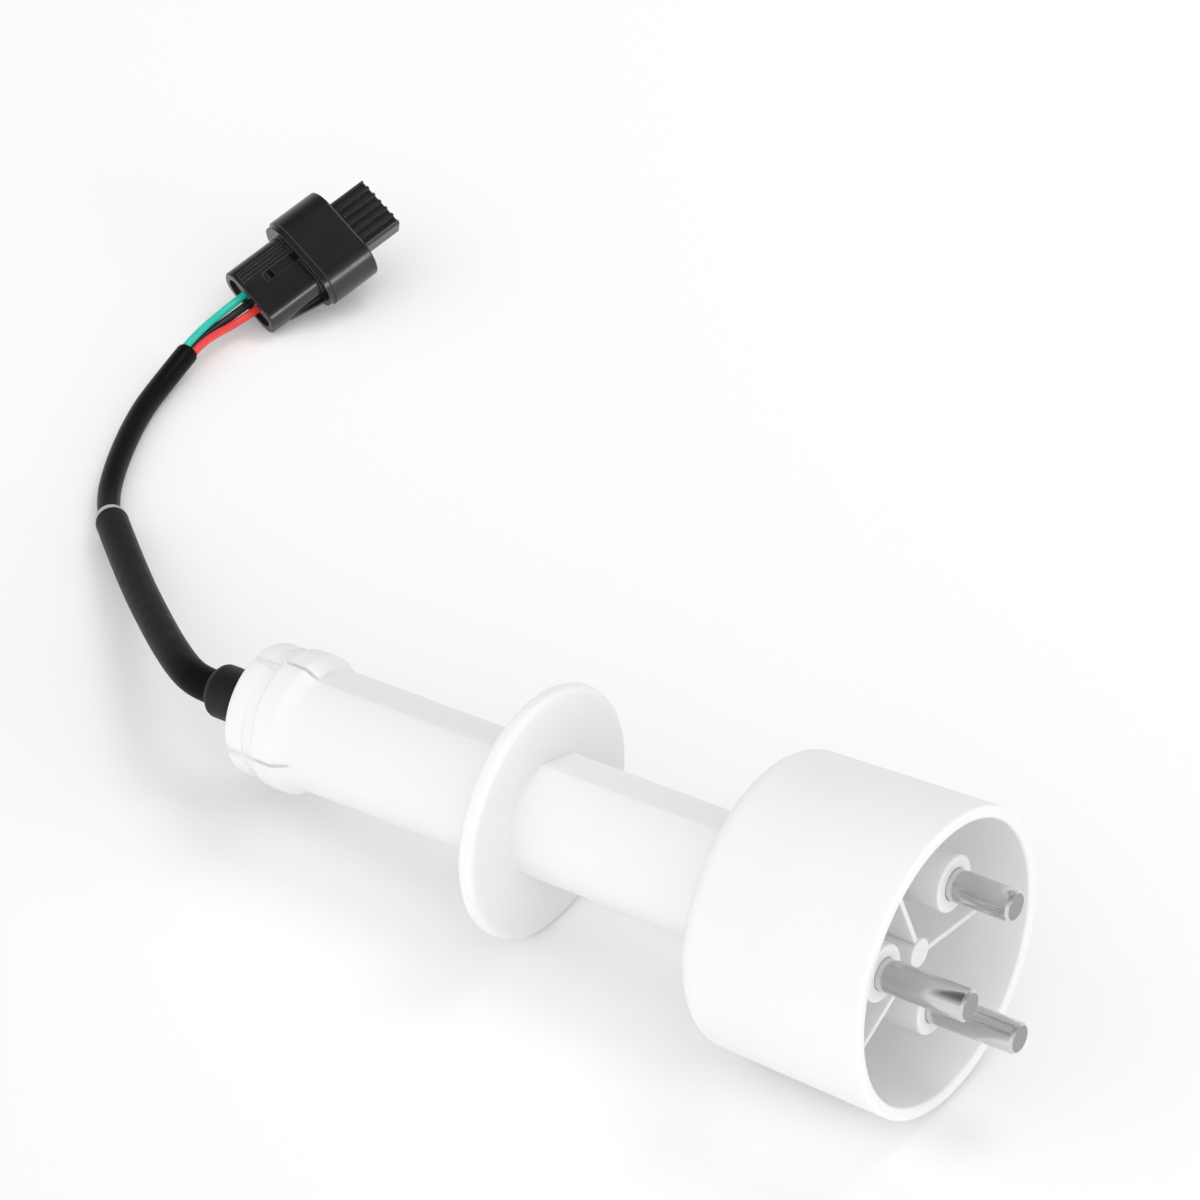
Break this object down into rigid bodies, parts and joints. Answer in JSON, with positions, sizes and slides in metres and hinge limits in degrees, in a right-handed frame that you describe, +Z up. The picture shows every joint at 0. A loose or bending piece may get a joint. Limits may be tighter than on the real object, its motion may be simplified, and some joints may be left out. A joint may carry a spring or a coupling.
{
  "type": "water level probe",
  "caption": "Water level probe with stainless electrodes sheltered in a white cup, a stop flange and slotted collar on its stem, and a short pigtail with a sealed connector.",
  "frame": {"origin": "on the surface that the probe lies on, below the middle of the stretch from the boot's end to the longest electrode's tip", "axes": "+X along the probe toward its electrodes, whose axis climbs about 4 degrees, +Y to the side that the connector lies on, +Z up"},
  "size_m": [0.2818, 0.1923, 0.0625],
  "materials": {
    "white_plastic": "satin moulded, near white",
    "stainless_steel": "bright turned",
    "black_rubber": "satin",
    "black_sleeving": "satin shrink tube",
    "grey_liner": "matte",
    "green_insulation": "satin",
    "black_insulation": "satin",
    "red_insulation": "satin",
    "black_housing": "semi-gloss",
    "grey_seal": "matte",
    "seal_rubber": "matte",
    "tinned_brass": "tinned"
  },
  "bodies": {
    "root": {"black_lead": "black_insulation", "black_wire": "black_insulation", "cable_grommet": "black_rubber", "cable_jacket": "black_sleeving", "connector_housing": "black_housing", "contact_1": "tinned_brass", "contact_2": "tinned_brass", "contact_3": "tinned_brass", "electrode_carrier": "white_plastic", "electrode_nuts": "stainless_steel", "electrode_seal_1": "seal_rubber", "electrode_seal_2": "seal_rubber", "electrode_seal_3": "seal_rubber", "end_plug": "white_plastic", "far_electrode": "stainless_steel", "green_lead": "green_insulation", "green_wire": "green_insulation", "interface_seal": "grey_seal", "lower_sleeve": "black_sleeving", "near_electrode": "stainless_steel", "probe_body": "white_plastic", "red_lead": "red_insulation", "red_wire": "red_insulation", "ring_terminal_1": "tinned_brass", "ring_terminal_2": "tinned_brass", "ring_terminal_3": "tinned_brass", "secondary_lock": "black_housing", "short_electrode": "stainless_steel", "sleeve_liner": "grey_liner", "wire_seal": "grey_seal"}
  },
  "joints": []
}
